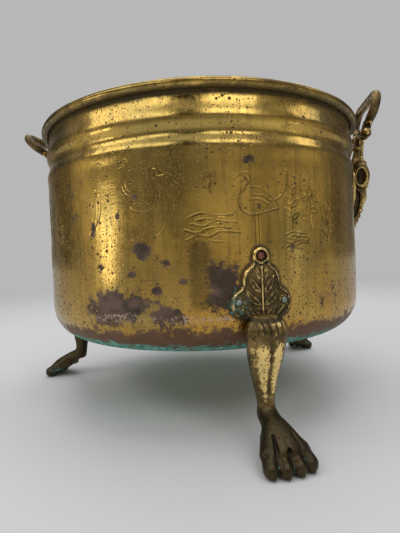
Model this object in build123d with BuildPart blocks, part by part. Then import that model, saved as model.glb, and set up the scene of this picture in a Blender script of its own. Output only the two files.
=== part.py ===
from build123d import *
from math import asin, cos, sin
import os

# Brass planter pot: a spun vessel on three cast paw feet, with two swinging bail handles.
# Millimetres. The origin is the centre of the vessel's inside floor, on its axis, +Z up.
# Feet and handles are made once with their radial direction along +X, then turned about Z
# to their azimuth, counted from -Y towards +X.

# ---- driving dimensions: vessel ----
SHEET = 1.0               # sheet thickness
WALL_R = 150.0            # outside of the upright wall
CORNER_R = 30.0           # outside radius of the rounded lower corner
RIM_TOP_Z = 189.4
ROLL_R = 3.5              # outside radius of the rolled edge
WIRE_R = 2.4
ROLL_END_DEG = -120.0     # where the curled edge ends, counted from straight outward
WALL_TOP_Z = 138.0        # the plain wall ends here
SHOULDER = (150.0, 147.0)     # outside radius and height of each line round the neck
GROOVE = (147.9, 155.5)
RIDGE = (150.0, 161.5)
NECK = (149.0, 171.0)
NECK_TOP = (147.7, 178.0)

# ---- driving dimensions: feet ----
FOOT_AZIMUTHS = {"front": 15.0, "left": -105.0, "back": 135.0}
GROUND_Z = -64.2
SEAT_GAP = 0.06           # castings sit this far off the sheet
PLATE_T = 3.2
EAR_Z = 68.8              # centre of the ring at the top of the leaf plate
EAR_R = 6.3
EAR_RECESS_R = 3.9
EAR_RECESS_DEPTH = 1.6
LOBE_RIVET_Y = 16.4
LOBE_RIVET_Z = 37.6
TOE_R = 6.0
TOE_SINK = 0.9            # how much of each toe's ball is flattened by the ground
TOE_TIP_U = 190.0
TOE_YS = (-13.0, -4.6, 4.6, 13.0)

PLATE_OUTLINE = [         # half of the leaf plate's edge, tangential offset and height
    (0.0, 24.0),
    (9.5, 24.8),
    (19.0, 28.5),
    (22.2, 36.0),
    (20.0, 43.5),
    (14.6, 48.0),
    (13.8, 53.5),
    (11.5, 59.0),
    (6.8, 63.5),
]
LEG_SECTIONS = [          # level sections: height, radial place, radial and side half-widths
    (29.0, 153.2, 2.4, 9.5),
    (24.0, 156.6, 6.2, 13.6),
    (14.0, 157.2, 9.2, 14.3),
    (2.0, 154.6, 10.4, 12.8),
    (-12.0, 151.9, 8.8, 9.7),
    (-24.0, 151.3, 6.9, 6.9),
    (-34.0, 152.3, 5.5, 5.4),
    (-42.0, 155.0, 6.2, 6.4),
]
PAW_SECTIONS = [          # upright sections: radial place, height, up and side half-widths
    (152.0, -39.6, 4.4, 5.2),
    (160.0, -42.4, 7.6, 8.2),
    (170.0, -47.8, 9.2, 13.2),
    (180.0, -53.0, 9.0, 16.4),
    (189.0, -56.6, 6.6, 15.6),
]

# ---- driving dimensions: handles ----
HANDLE_AZIMUTHS = {"right": 84.0, "left": -103.0}
BAIL_LEANS = {"right": 12.5, "left": 43.0}    # outward from upright, as the handles lie
PIVOT_U = 163.5
PIVOT_Z = 182.55
BARREL_R = 4.6
BARREL_HALF = 8.65
EYE_R = 5.4
EYE_W = 8.4
SIDE_GAP = 0.35           # barrel to eye, and eye to ball, along the pin
PIN_R = 2.0
PIN_CLEARANCE = 0.08      # radial, between pin and eye
BALL_R = 3.2
BAIL_ROD_R = 4.2
BAIL_CORNERS = [          # one leg's route, from the pivot up: side offset and height
    (13.8, 7.0),
    (31.0, 17.0),
    (30.5, 34.3),
]
BAIL_BENDS = [9.0, 10.0, 11.0]
MOUNT_PLATE_T = 4.2
MOUNT_LOBE_RIVET = (12.5, 131.0)
MOUNT_TAIL_RIVET = (0.0, 87.0)
MOUNT_OUTLINE = [         # half of the mount plate's edge, tangential offset and height
    (0.0, 79.0),
    (4.2, 85.0),
    (4.4, 93.0),
    (4.4, 103.0),
    (8.5, 114.0),
    (15.8, 120.0),
    (19.8, 129.0),
    (19.4, 140.0),
    (14.0, 148.0),
    (0.0, 152.5),
]
KEEL_HALF = 4.6
KEEL_LOW = (155.0, 96.0)
KEEL_FRONT = [            # side view of the raised keel, radius and height, going up
    (158.4, 98.0),
    (161.4, 105.0),
    (165.0, 114.0),
    (167.8, 121.0),
    (168.0, 129.0),
    (170.4, 137.0),
    (171.4, 146.0),
    (167.8, 156.0),
    (164.0, 166.0),
    (164.2, 175.0),
    (167.4, 181.5),
]
KEEL_BACK = [             # the keel's back, going down, arched clear of the plate at its foot
    (158.6, 182.5),
    (157.0, 171.0),
    (154.2, 159.0),
    (153.0, 151.0),
    (148.0, 148.0),
    (148.0, 131.0),
    (155.5, 131.0),
    (160.2, 126.0),
    (160.0, 117.0),
    (157.6, 108.0),
    (154.0, 101.0),
    (148.0, 100.0),
    (148.0, 96.0),
]
YOKE = [(4.0, 164.0), (8.0, 177.0), (8.0, 184.0), (0.0, 184.0), (0.0, 164.0)]
YOKE_U = (159.5, 164.5)

# ---- driving dimensions: rivets ----
RIVET_R = 1.6
HOLE_R = 1.65
DRILL_DEPTH = 5.0
HEAD_R = 2.6
HEAD_H = 1.5
EAR_HEAD_R = 3.1
EAR_HEAD_H = 2.2
PEENED_R = 3.0
PEENED_H = 1.4

os.makedirs("parts", exist_ok=True)

EYE_Y = BARREL_HALF + SIDE_GAP + EYE_W / 2
BALL_Y = EYE_Y + EYE_W / 2 + SIDE_GAP + BALL_R
ROLL_CENTRE = (NECK_TOP[0] + ROLL_R - SHEET, RIM_TOP_Z - ROLL_R)
HINGE_PLANE = Plane(origin=(PIVOT_U, 0, PIVOT_Z), x_dir=(1, 0, 0), z_dir=(0, 1, 0))


def save(part, name):
    """Label a finished piece and write its STEP file."""
    part.label = name
    export_step(part, f"parts/{name}.step")


def save_turned(part, name, azimuth):
    """Write a copy of a piece turned from +X to its azimuth."""
    save(part.rotate(Axis.Z, azimuth - 90), name)


def neck_line(inset):
    """The neck's curve from the plain wall up to the roll, moved inward by inset."""
    points = [(r - inset, z) for r, z in (SHOULDER, GROOVE, RIDGE, NECK, NECK_TOP)]
    start = (WALL_R - inset, WALL_TOP_Z)
    Spline(start, *points, tangents=((0, 1), (0, 1)))
    Line(points[-1], (points[-1][0], ROLL_CENTRE[1]))


def wall_line(inset, bottom_z):
    """Floor, rounded corner and plain wall, from the axis out and up."""
    radius = CORNER_R - inset
    centre_r = WALL_R - CORNER_R
    centre_z = bottom_z + radius
    Line((0, bottom_z), (centre_r, bottom_z))
    CenterArc((centre_r, centre_z), radius, -90, 90)
    Line((centre_r + radius, centre_z), (WALL_R - inset, WALL_TOP_Z))


# ---- rivet positions, shared by the vessel's holes and the castings ----
FOOT_RIVETS = [(0, EAR_Z), (-LOBE_RIVET_Y, LOBE_RIVET_Z), (LOBE_RIVET_Y, LOBE_RIVET_Z)]
MOUNT_RIVETS = [
    (-MOUNT_LOBE_RIVET[0], MOUNT_LOBE_RIVET[1]),
    (MOUNT_LOBE_RIVET[0], MOUNT_LOBE_RIVET[1]),
    MOUNT_TAIL_RIVET,
]


def wall_plane(y, z, radius):
    """A plane across a rivet's axis at this radius; y is the rivet's offset along the wall."""
    angle = asin(y / WALL_R)
    outward = Vector(cos(angle), sin(angle), 0)
    return Plane(radius * outward + Vector(0, 0, z), x_dir=(-outward.Y, outward.X, 0), z_dir=outward)


def radial_plane(u):
    """An upright plane across the radial direction at distance u: x is tangential, y is up."""
    return Plane(origin=(u, 0, 0), x_dir=(0, 1, 0), z_dir=(1, 0, 0))


# ---- drills for the rivet holes, through the sheet and the castings ----
with BuildPart() as foot_drills:
    for rivet_y, rivet_z in FOOT_RIVETS:
        with BuildSketch(wall_plane(rivet_y, rivet_z, WALL_R - DRILL_DEPTH)):
            Circle(HOLE_R)
        extrude(amount=3 * DRILL_DEPTH)

with BuildPart() as mount_drills:
    for rivet_y, rivet_z in MOUNT_RIVETS:
        with BuildSketch(wall_plane(rivet_y, rivet_z, WALL_R - DRILL_DEPTH)):
            Circle(HOLE_R)
        extrude(amount=5 * DRILL_DEPTH)

# ---- vessel ----
with BuildPart() as pot_body:
    with BuildSketch(Plane.XZ):
        with BuildLine():
            wall_line(0, -SHEET)
            neck_line(0)
            inner_arc = CenterArc(ROLL_CENTRE, ROLL_R - SHEET, 180, ROLL_END_DEG - 180)
            outer_arc = CenterArc(ROLL_CENTRE, ROLL_R, 180, ROLL_END_DEG - 180)
            Line(inner_arc @ 1, outer_arc @ 1)
            wall_line(SHEET, 0)
            neck_line(SHEET)
            Line((0, -SHEET), (0, 0))
        make_face()
    revolve(axis=Axis.Z)
    for azimuth in FOOT_AZIMUTHS.values():
        add(foot_drills.part, rotation=(0, 0, azimuth - 90), mode=Mode.SUBTRACT)
    for azimuth in HANDLE_AZIMUTHS.values():
        add(mount_drills.part, rotation=(0, 0, azimuth - 90), mode=Mode.SUBTRACT)
save(pot_body.part, "pot_body")


# ---- wire inside the rolled edge ----
with BuildPart() as rim_wire:
    with BuildSketch(Plane.XZ):
        with Locations(ROLL_CENTRE):
            Circle(WIRE_R)
    revolve(axis=Axis.Z)
save(rim_wire.part, "rim_wire")


# ---- the space the vessel fills, a hair larger, which seats the castings against it ----
with BuildPart() as vessel_space:
    with BuildSketch(Plane.XZ):
        with BuildLine():
            wall_line(-SEAT_GAP, -SHEET - SEAT_GAP)
            neck_line(-SEAT_GAP)
            Polyline(
                (NECK_TOP[0] + SEAT_GAP, ROLL_CENTRE[1]),
                (0, ROLL_CENTRE[1]),
                (0, -SHEET - SEAT_GAP),
            )
        make_face()
    revolve(axis=Axis.Z)


# ---- foot: leaf plate, cabriole leg and paw in one casting ----
with BuildPart() as foot_plate:
    with BuildSketch(radial_plane(WALL_R - CORNER_R)):
        with BuildLine():
            Spline(*PLATE_OUTLINE)
            Polyline(PLATE_OUTLINE[-1], (0, PLATE_OUTLINE[-1][1]), PLATE_OUTLINE[0])
        make_face()
        mirror(about=Plane.YZ)
        with Locations((0, EAR_Z)):
            Circle(EAR_R)
    extrude(amount=2 * CORNER_R)
    with BuildSketch(Plane.XY):
        Circle(WALL_R + PLATE_T)
    extrude(amount=RIM_TOP_Z, mode=Mode.INTERSECT)
    with BuildSketch(radial_plane(WALL_R + PLATE_T - EAR_RECESS_DEPTH)):
        with Locations((0, EAR_Z)):
            Circle(EAR_RECESS_R)
    extrude(amount=PLATE_T, mode=Mode.SUBTRACT)

with BuildPart() as leg:
    for leg_z, leg_u, radial_half, side_half in LEG_SECTIONS:
        with BuildSketch(Plane((leg_u, 0, leg_z))):
            Ellipse(radial_half, side_half)
    loft()

with BuildPart() as paw:
    for paw_u, paw_z, up_half, side_half in PAW_SECTIONS:
        with BuildSketch(radial_plane(paw_u)):
            with Locations((0, paw_z)):
                Ellipse(side_half, up_half)
    loft()

with BuildPart() as toes:
    for toe_y in TOE_YS:
        toe_tip = Vector(TOE_TIP_U - abs(toe_y) / 4, toe_y, GROUND_Z + TOE_R - TOE_SINK)
        toe_root = Vector(TOE_TIP_U - 3.5 * TOE_R, 0.5 * toe_y, GROUND_Z + 2.3 * TOE_R)
        toe_run = toe_root - toe_tip
        with Locations(toe_tip):
            Sphere(TOE_R)
        with BuildSketch(Plane(origin=toe_tip, z_dir=toe_run)):
            Circle(TOE_R)
        extrude(amount=toe_run.length)

with BuildPart() as foot:
    add(leg.part)
    add(paw.part)
    add(toes.part)
    add(foot_plate.part)
    add(vessel_space.part, mode=Mode.SUBTRACT)
    add(foot_drills.part, mode=Mode.SUBTRACT)
    with BuildSketch(Plane.XY.offset(GROUND_Z)):
        Circle(2 * WALL_R)
    extrude(amount=-CORNER_R, mode=Mode.SUBTRACT)


# ---- handle mount: leaf plate, raised keel, yoke and hinge barrel in one casting ----
with BuildPart() as mount_plate:
    with BuildSketch(radial_plane(WALL_R - CORNER_R)):
        with BuildLine():
            Spline(*MOUNT_OUTLINE)
            Line(MOUNT_OUTLINE[-1], MOUNT_OUTLINE[0])
        make_face()
        mirror(about=Plane.YZ)
    extrude(amount=2 * CORNER_R)
    with BuildSketch(Plane.XY):
        Circle(WALL_R + MOUNT_PLATE_T)
    extrude(amount=RIM_TOP_Z, mode=Mode.INTERSECT)

with BuildPart() as mount:
    with BuildSketch(Plane.XZ):
        with BuildLine():
            Spline(*KEEL_FRONT)
            Polyline(KEEL_FRONT[-1], *KEEL_BACK, KEEL_LOW, KEEL_FRONT[0])
        make_face()
    extrude(amount=KEEL_HALF, both=True)
    with BuildSketch(radial_plane(YOKE_U[0])):
        with BuildLine():
            Polyline(*YOKE, close=True)
        make_face()
        mirror(about=Plane.YZ)
    extrude(amount=YOKE_U[1] - YOKE_U[0])
    add(mount_plate.part)
    add(vessel_space.part, mode=Mode.SUBTRACT)
    with BuildSketch(HINGE_PLANE):
        Circle(BARREL_R)
    extrude(amount=BARREL_HALF, both=True)
    with BuildSketch(HINGE_PLANE):
        Circle(PIN_R + SEAT_GAP / 2)
    extrude(amount=BARREL_HALF, both=True, mode=Mode.SUBTRACT)
    add(mount_drills.part, mode=Mode.SUBTRACT)

# ---- bail: a round bar bent to a squarish loop, with an eye at each end ----
with BuildPart() as bail:
    with BuildLine(radial_plane(PIVOT_U)) as bow:
        leg_points = [(EYE_Y, PIVOT_Z)] + [(y, PIVOT_Z + up) for y, up in BAIL_CORNERS]
        far_points = [(-y, z) for y, z in reversed(leg_points)]
        bends = BAIL_BENDS + BAIL_BENDS[::-1]
        FilletPolyline(*leg_points, *far_points, radius=bends)
    with BuildSketch(Plane(bow.line @ 0, z_dir=bow.line % 0)):
        Circle(BAIL_ROD_R)
    sweep()
    for side in (-1, 1):
        with BuildSketch(HINGE_PLANE.offset(side * EYE_Y)):
            Circle(EYE_R)
        extrude(amount=EYE_W / 2, both=True)
    with BuildSketch(HINGE_PLANE):
        Circle(PIN_R + PIN_CLEARANCE)
    extrude(amount=2 * EYE_Y, both=True, mode=Mode.SUBTRACT)

# ---- hinge pin with a ball on each end ----
with BuildPart() as hinge_pin:
    with BuildSketch(HINGE_PLANE):
        Circle(PIN_R)
    extrude(amount=BALL_Y, both=True)
    with Locations((PIVOT_U, BALL_Y, PIVOT_Z), (PIVOT_U, -BALL_Y, PIVOT_Z)):
        Sphere(BALL_R)


# ---- rivets: a dome outside on the casting, a shank, and a peened dome inside ----
def dome_radius(base_r, height):
    """Radius of the ball that a dome of this base radius and height is cut from."""
    return (base_r**2 + height**2) / (2 * height)


def rivet_group(places, seat_r, head_r, head_h):
    """Solid rivets at these offsets and heights, their outer heads seated at radius seat_r."""
    grip = seat_r - (WALL_R - SHEET - SEAT_GAP)
    with BuildPart() as group:
        for y, z in places:
            seat = wall_plane(y, z, seat_r + SEAT_GAP / 2)
            with BuildSketch(Plane(seat.origin, x_dir=seat.x_dir, z_dir=(0, 0, -1))):
                with BuildLine():
                    RadiusArc((0, head_h), (head_r, 0), dome_radius(head_r, head_h))
                    Polyline((head_r, 0), (RIVET_R, 0), (RIVET_R, -grip), (PEENED_R, -grip))
                    peened_top = (0, -grip - PEENED_H)
                    RadiusArc(peened_top, (PEENED_R, -grip), -dome_radius(PEENED_R, PEENED_H))
                    Line(peened_top, (0, head_h))
                make_face()
            revolve(axis=Axis(seat.origin, seat.z_dir))
    return group.part


foot_seat_r = WALL_R + PLATE_T
top_rivet = rivet_group(FOOT_RIVETS[:1], foot_seat_r - EAR_RECESS_DEPTH, EAR_HEAD_R, EAR_HEAD_H)
side_rivets = rivet_group(FOOT_RIVETS[1:], foot_seat_r, HEAD_R, HEAD_H)
handle_rivets = rivet_group(MOUNT_RIVETS, WALL_R + MOUNT_PLATE_T, HEAD_R, HEAD_H)

# ---- the same castings, turned to each place ----
for place, azimuth in FOOT_AZIMUTHS.items():
    save_turned(foot.part, f"{place}_foot", azimuth)
    save_turned(top_rivet, f"{place}_foot_top_rivet", azimuth)
    save_turned(side_rivets, f"{place}_foot_side_rivets", azimuth)

for place, azimuth in HANDLE_AZIMUTHS.items():
    hinge_line = Axis((PIVOT_U, 0, PIVOT_Z), (0, 1, 0))
    save_turned(mount.part, f"{place}_handle_mount", azimuth)
    save_turned(handle_rivets, f"{place}_handle_rivets", azimuth)
    save_turned(bail.part.rotate(hinge_line, BAIL_LEANS[place]), f"{place}_bail", azimuth)
    save_turned(hinge_pin.part, f"{place}_hinge_pin", azimuth)
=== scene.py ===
import math

import bpy
import numpy as np
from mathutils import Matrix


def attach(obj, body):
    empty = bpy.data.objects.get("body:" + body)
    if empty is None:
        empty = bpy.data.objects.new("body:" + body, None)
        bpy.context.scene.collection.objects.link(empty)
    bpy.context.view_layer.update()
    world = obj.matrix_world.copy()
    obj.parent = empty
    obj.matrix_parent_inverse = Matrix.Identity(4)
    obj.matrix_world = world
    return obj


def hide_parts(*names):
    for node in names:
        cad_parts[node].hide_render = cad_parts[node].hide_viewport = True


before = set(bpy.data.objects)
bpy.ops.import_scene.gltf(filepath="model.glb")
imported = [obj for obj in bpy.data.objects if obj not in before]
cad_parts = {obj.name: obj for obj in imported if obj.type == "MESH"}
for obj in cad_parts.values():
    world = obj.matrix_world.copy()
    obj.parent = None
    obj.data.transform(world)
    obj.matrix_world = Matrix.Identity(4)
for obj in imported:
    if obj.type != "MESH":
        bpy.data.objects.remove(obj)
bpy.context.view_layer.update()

import openvdb as vdb
from mathutils import Matrix, Vector

# Brass planter pot. Shapes are worked out in millimetres and written to meshes in metres.
# Azimuths are in degrees from -Y towards +X.
# Local frame of a foot or handle: u outward from the pot's axis, y along the wall, z up.

MM = 0.001
VOXEL = 0.42  # of the sculpted castings
COLUMNS = 1380  # points in each ring of the vessel
COARSE = 1.0  # spacing of the vessel's rings

# vessel
SHEET = 1.0
WALL_R = 150.0
AROUND = 2 * math.pi * WALL_R  # once round the wall
CORNER_R = 30.0
FLOOR_R = WALL_R - CORNER_R
CORNER_Z = CORNER_R - SHEET  # the upright wall starts here
NECK_Z = [120, 130, 138, 147, 155.5, 161.5, 171, 178, 186]
NECK_R = [150, 150, 150, 150, 147.9, 150, 149, 147.7, 147.7]
ROLL_AT = (150.2, 185.9)  # centre of the rolled edge
ROLL_R = 3.5
ROLL_END = -120  # where the curl ends, in degrees from outward
INSIDE, OUTSIDE, ROLLED = 0, 1, 2  # which way a ring of the sheet faces
BAND = (58, 146)  # heights between which lines are chased
LINE_REACH = 2.6  # how far from a line its groove is worked out
CLEAR_OF_LINES = 9.0
PLATE_REACH = 45.0  # how far from a plate's middle its dirt goes

# feet
FEET = {"front": 15.0, "left": -105.0, "back": 135.0}
GROUND = -64.2
SEAT = 150.06  # castings sit this far from the axis
EAR_Z = 68.8
LOBE_Y, LOBE_Z = 16.4, 37.6
TOE_YS = (-13.0, -4.6, 4.6, 13.0)
PLATE_HALF = [(0.0, 24.0), (9.5, 24.8), (19.0, 28.5), (22.2, 36.0), (20.0, 43.5), (14.6, 48.0),
              (13.8, 53.5), (11.5, 59.0), (6.8, 63.5), (6.3, 68.8), (4.5, 73.2), (0.0, 75.1)]

# handles
HANDLES = {"right": (84.0, 12.5), "left": (-103.0, 43.0)}  # azimuth and rest lean
PIVOT_U, PIVOT_Z = 163.5, 182.55
EYE_Y = 13.2
EYE_BORE, MOUNT_BORE = 2.15, 2.1
PIN_BEAD_Y, PIN_BEAD_R, PIN_END = 20.95, 3.2, 24.1
MOUNT_LOBE_Y, MOUNT_LOBE_Z = 12.5, 131.0
MOUNT_TAIL_Z = 87.0
MOUNT_HALF = [(0.0, 79.0), (4.2, 85.0), (4.4, 93.0), (4.4, 103.0), (8.5, 114.0), (15.8, 120.0),
              (19.8, 129.0), (19.4, 140.0), (14.0, 148.0), (0.0, 152.5)]

# rivets: the seats are distances from the axis
PEENED_SEAT, PEENED_R, PEENED_H = 148.95, 3.0, 1.4
SHANK_R = 1.62
EAR_HEAD = (151.62, 3.15, 2.1)  # seat, head radius, head height
LOBE_HEAD = (152.35, 2.6, 1.9)
MOUNT_HEAD = (153.6, 2.6, 1.7)


# ---------------- numbers and noise

def spline(x, y, at):
    """Natural cubic spline through the points (x, y), x rising."""
    x, y = np.asarray(x, float), np.asarray(y, float)
    h, n = np.diff(x), len(x)
    a, b = np.eye(n), np.zeros(n)
    for i in range(1, n - 1):
        a[i, i - 1:i + 2] = h[i - 1], 2 * (h[i - 1] + h[i]), h[i]
        b[i] = 6 * ((y[i + 1] - y[i]) / h[i] - (y[i] - y[i - 1]) / h[i - 1])
    m = np.linalg.solve(a, b)
    at = np.clip(at, x[0], x[-1])
    i = np.clip(np.searchsorted(x, at) - 1, 0, n - 2)
    left, right, g = x[i + 1] - at, at - x[i], h[i]
    curve = (m[i] * left**3 + m[i + 1] * right**3) / (6 * g)
    return curve + (y[i] / g - m[i] * g / 6) * left + (y[i + 1] / g - m[i + 1] * g / 6) * right


def smooth_path(points, count, closed=False):
    """Points along a Catmull-Rom curve through the given ones."""
    p = np.asarray(points, float)
    if closed:
        p = np.vstack([p[-1], p, p[0], p[1]])
    else:
        p = np.vstack([2 * p[0] - p[1], p, 2 * p[-1] - p[-2]])
    t = np.linspace(0, 1, count, endpoint=False)[:, None]
    runs = []
    for a, b, c, d in zip(p[:-3], p[1:-2], p[2:-1], p[3:]):
        runs.append(0.5 * (2 * b + (c - a) * t + (2 * a - 5 * b + 4 * c - d) * t**2
                           + (3 * b - a - 3 * c + d) * t**3))
    if not closed:
        runs.append(p[-2:-1])
    return np.vstack(runs)


CELLS = 48
LATTICE = np.random.default_rng(11).uniform(-1, 1, (CELLS,) * 3).astype(np.float32)


def noise(x, y, z, size, shift=0.0):
    """Smooth noise from -1 to 1 with lumps of about the given size."""
    total = 0.0
    parts = []
    for v in (x, y, z):
        v = v / size + shift
        cell = np.floor(v)
        t = v - cell
        parts.append((cell.astype(int), t * t * (3 - 2 * t)))
    (i, a), (j, b), (k, c) = parts
    for di, wa in ((0, 1 - a), (1, a)):
        for dj, wb in ((0, 1 - b), (1, b)):
            for dk, wc in ((0, 1 - c), (1, c)):
                corner = LATTICE[(i + di) % CELLS, (j + dj) % CELLS, (k + dk) % CELLS]
                total = total + wa * wb * wc * corner
    return total


def bell(v, width):
    """1 where v is 0, falling off on both sides."""
    return np.exp(-(v / width) ** 2)


def rise(v, low, high):
    """0 below low, 1 above high, and smooth between."""
    t = np.clip((v - low) / (high - low), 0, 1)
    return t * t * (3 - 2 * t)


def smin(a, b, k):
    """The union of two shapes, with a fillet of about k."""
    h = np.clip(0.5 + 0.5 * (b - a) / k, 0, 1)
    return b * (1 - h) + a * h - k * h * (1 - h)


def smax(a, b, k):
    """What two shapes share, with its edge rounded by about k."""
    return -smin(-a, -b, k)


def nearest(path, y, z):
    """Distance from each point (y, z) to a polyline, and from its start along it to the nearest place."""
    best = np.full(np.broadcast(y, z).shape, 1e9)
    along, before = np.zeros(best.shape), 0.0
    for (ay, az), (by, bz) in zip(path[:-1], path[1:]):
        dy, dz = by - ay, bz - az
        t = np.clip(((y - ay) * dy + (z - az) * dz) / max(dy * dy + dz * dz, 1e-9), 0, 1)
        d = (y - ay - t * dy) ** 2 + (z - az - t * dz) ** 2
        along = np.where(d < best, before + t * math.hypot(dy, dz), along)
        best = np.minimum(best, d)
        before += math.hypot(dy, dz)
    return np.sqrt(best), along


def line_distance(path, y, z):
    return nearest(path, y, z)[0]


def outline_distance(loop, y, z):
    """Signed distance to a closed outline, negative inside."""
    closed = np.vstack([loop, loop[:1]])
    inside = np.zeros(np.broadcast(y, z).shape, bool)
    for (ay, az), (by, bz) in zip(closed[:-1], closed[1:]):
        if az != bz:
            crosses = ((az > z) != (bz > z)) & (y < (by - ay) * (z - az) / (bz - az) + ay)
            inside ^= crosses
    d = line_distance(closed, y, z)
    return np.where(inside, -d, d)


# ---------------- meshes

def build_piece(name, node, slot, points, faces, marks, body="root"):
    """Puts a mesh in the place of a CAD node. It's made of points in millimetres, a list of face
    index arrays and the vertex values that its material, the slot's, reads."""
    mesh = bpy.data.meshes.new(name)
    sizes = np.concatenate([np.full(len(f), f.shape[1]) for f in faces])
    corners = np.concatenate([f.ravel() for f in faces])
    mesh.vertices.add(len(points))
    mesh.vertices.foreach_set("co", (np.asarray(points) * MM).astype(np.float32).ravel())
    mesh.loops.add(len(corners))
    mesh.loops.foreach_set("vertex_index", corners.astype(np.int32))
    mesh.polygons.add(len(sizes))
    starts = np.concatenate([[0], np.cumsum(sizes)[:-1]])
    mesh.polygons.foreach_set("loop_start", starts.astype(np.int32))
    mesh.update(calc_edges=True)
    mesh.validate()
    for key, values in marks.items():
        layer = mesh.attributes.new(key, "FLOAT", "POINT")
        layer.data.foreach_set("value", np.asarray(values, np.float32))
    mesh.shade_smooth()
    mesh.materials.append(FINISHES[slot])
    piece = bpy.data.objects.new(name, mesh)
    bpy.context.scene.collection.objects.link(piece)
    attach(piece, body)
    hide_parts(node)


def place(points, azimuth):
    """Turns local (u, y, z) into the row frame at an azimuth."""
    a = math.radians(azimuth)
    u, y, z = points.T
    return np.stack([u * math.sin(a) + y * math.cos(a), -u * math.cos(a) + y * math.sin(a), z], 1)


def ring_faces(rows, count):
    """Faces of a closed skin: one point, then rows of points in rings, then one point."""
    col = np.arange(count)
    after = (col + 1) % count
    lower = 1 + (np.arange(rows - 1) * count)[:, None]
    quads = np.stack([lower + col, lower + after, lower + count + after, lower + count + col], 2)
    top = 1 + (rows - 1) * count
    first, last = np.zeros(count, int), np.full(count, top + count)
    fans = np.concatenate([np.stack([first, 1 + after, 1 + col], 1),
                           np.stack([top + col, top + after, last], 1)])
    return [quads.reshape(-1, 4), fans]


def blurred(field, reach):
    """The field after two running means of that reach along each axis."""
    width = 2 * reach + 1
    for axis in (0, 1, 2, 0, 1, 2):
        padded = np.concatenate([np.repeat(field.take([0], axis), reach + 1, axis), field,
                                 np.repeat(field.take([-1], axis), reach, axis)], axis)
        total = np.cumsum(padded, axis, dtype=np.float64)
        n = field.shape[axis]
        upper = total.take(range(width, width + n), axis)
        lower = total.take(range(0, n), axis)
        field = ((upper - lower) / width).astype(np.float32)
    return field


class Block:
    """A grid of voxels in which a casting is shaped: fields are negative inside it."""

    def __init__(self, low, high):
        self.low = np.array(low, float)
        axes = [np.arange(a, b + VOXEL, VOXEL, dtype=np.float32) for a, b in zip(low, high)]
        self.u, self.y, self.z = np.meshgrid(*axes, indexing="ij", sparse=True)
        self.shape = tuple(len(a) for a in axes)
        self.r = np.sqrt(self.u**2 + self.y**2)

    def ball(self, centre, radii):
        ru, ry, rz = radii
        du, dy, dz = self.u - centre[0], self.y - centre[1], self.z - centre[2]
        k0 = np.sqrt((du / ru) ** 2 + (dy / ry) ** 2 + (dz / rz) ** 2)
        k1 = np.sqrt((du / ru**2) ** 2 + (dy / ry**2) ** 2 + (dz / rz**2) ** 2)
        return k0 * (k0 - 1) / np.maximum(k1, 1e-6)

    def rod(self, a, b, ra, rb):
        a, d = np.array(a, float), np.array(b, float) - np.array(a, float)
        du, dy, dz = self.u - a[0], self.y - a[1], self.z - a[2]
        t = np.clip((du * d[0] + dy * d[1] + dz * d[2]) / d.dot(d), 0, 1)
        gap = np.sqrt((du - t * d[0]) ** 2 + (dy - t * d[1]) ** 2 + (dz - t * d[2]) ** 2)
        return gap - (ra + (rb - ra) * t)

    def surface(self, field, rough, keep=None):
        """Points, faces and relief of the field's zero surface, with a cast skin of that roughness.
        keep is a field that the skin doesn't cross."""
        field = np.broadcast_to(field, self.shape).astype(np.float32)
        skin = noise(self.u, self.y, self.z, 4.3) + 0.6 * noise(self.u, self.y, self.z, 1.9, 5.3)
        field = field + rough * skin
        if keep is not None:
            field = np.maximum(field, keep)
        high = blurred(field, max(1, round(1.0 / VOXEL))) - field
        grid = vdb.FloatGrid(3.0)
        grid.copyFromArray(np.ascontiguousarray(field))
        points, tris, quads = grid.convertToPolygons(isovalue=0.0, adaptivity=0.0)
        at = np.clip(np.round(points).astype(int), 0, np.array(self.shape) - 1)
        relief = high[at[:, 0], at[:, 1], at[:, 2]]
        points = points * VOXEL + self.low
        faces = [f.astype(np.int64) for f in (quads, tris) if len(f)]
        a, b, c = (points[faces[0][:, k]] for k in range(3))
        if (np.cross(b - a, c - a) * a).sum() < 0:
            faces = [f[:, ::-1] for f in faces]
        return points, faces, relief


# ---------------- materials

class Value:
    """A node's output that sums and products can be written with."""

    def __init__(self, nodes, socket):
        self.nodes, self.socket = nodes, socket

    def __add__(self, other):
        return self.nodes.math("ADD", self, other)

    def __mul__(self, other):
        return self.nodes.math("MULTIPLY", self, other)

    def __sub__(self, other):
        return self.nodes.math("SUBTRACT", self, other)

    def __rsub__(self, other):
        return self.nodes.math("SUBTRACT", other, self)


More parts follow.
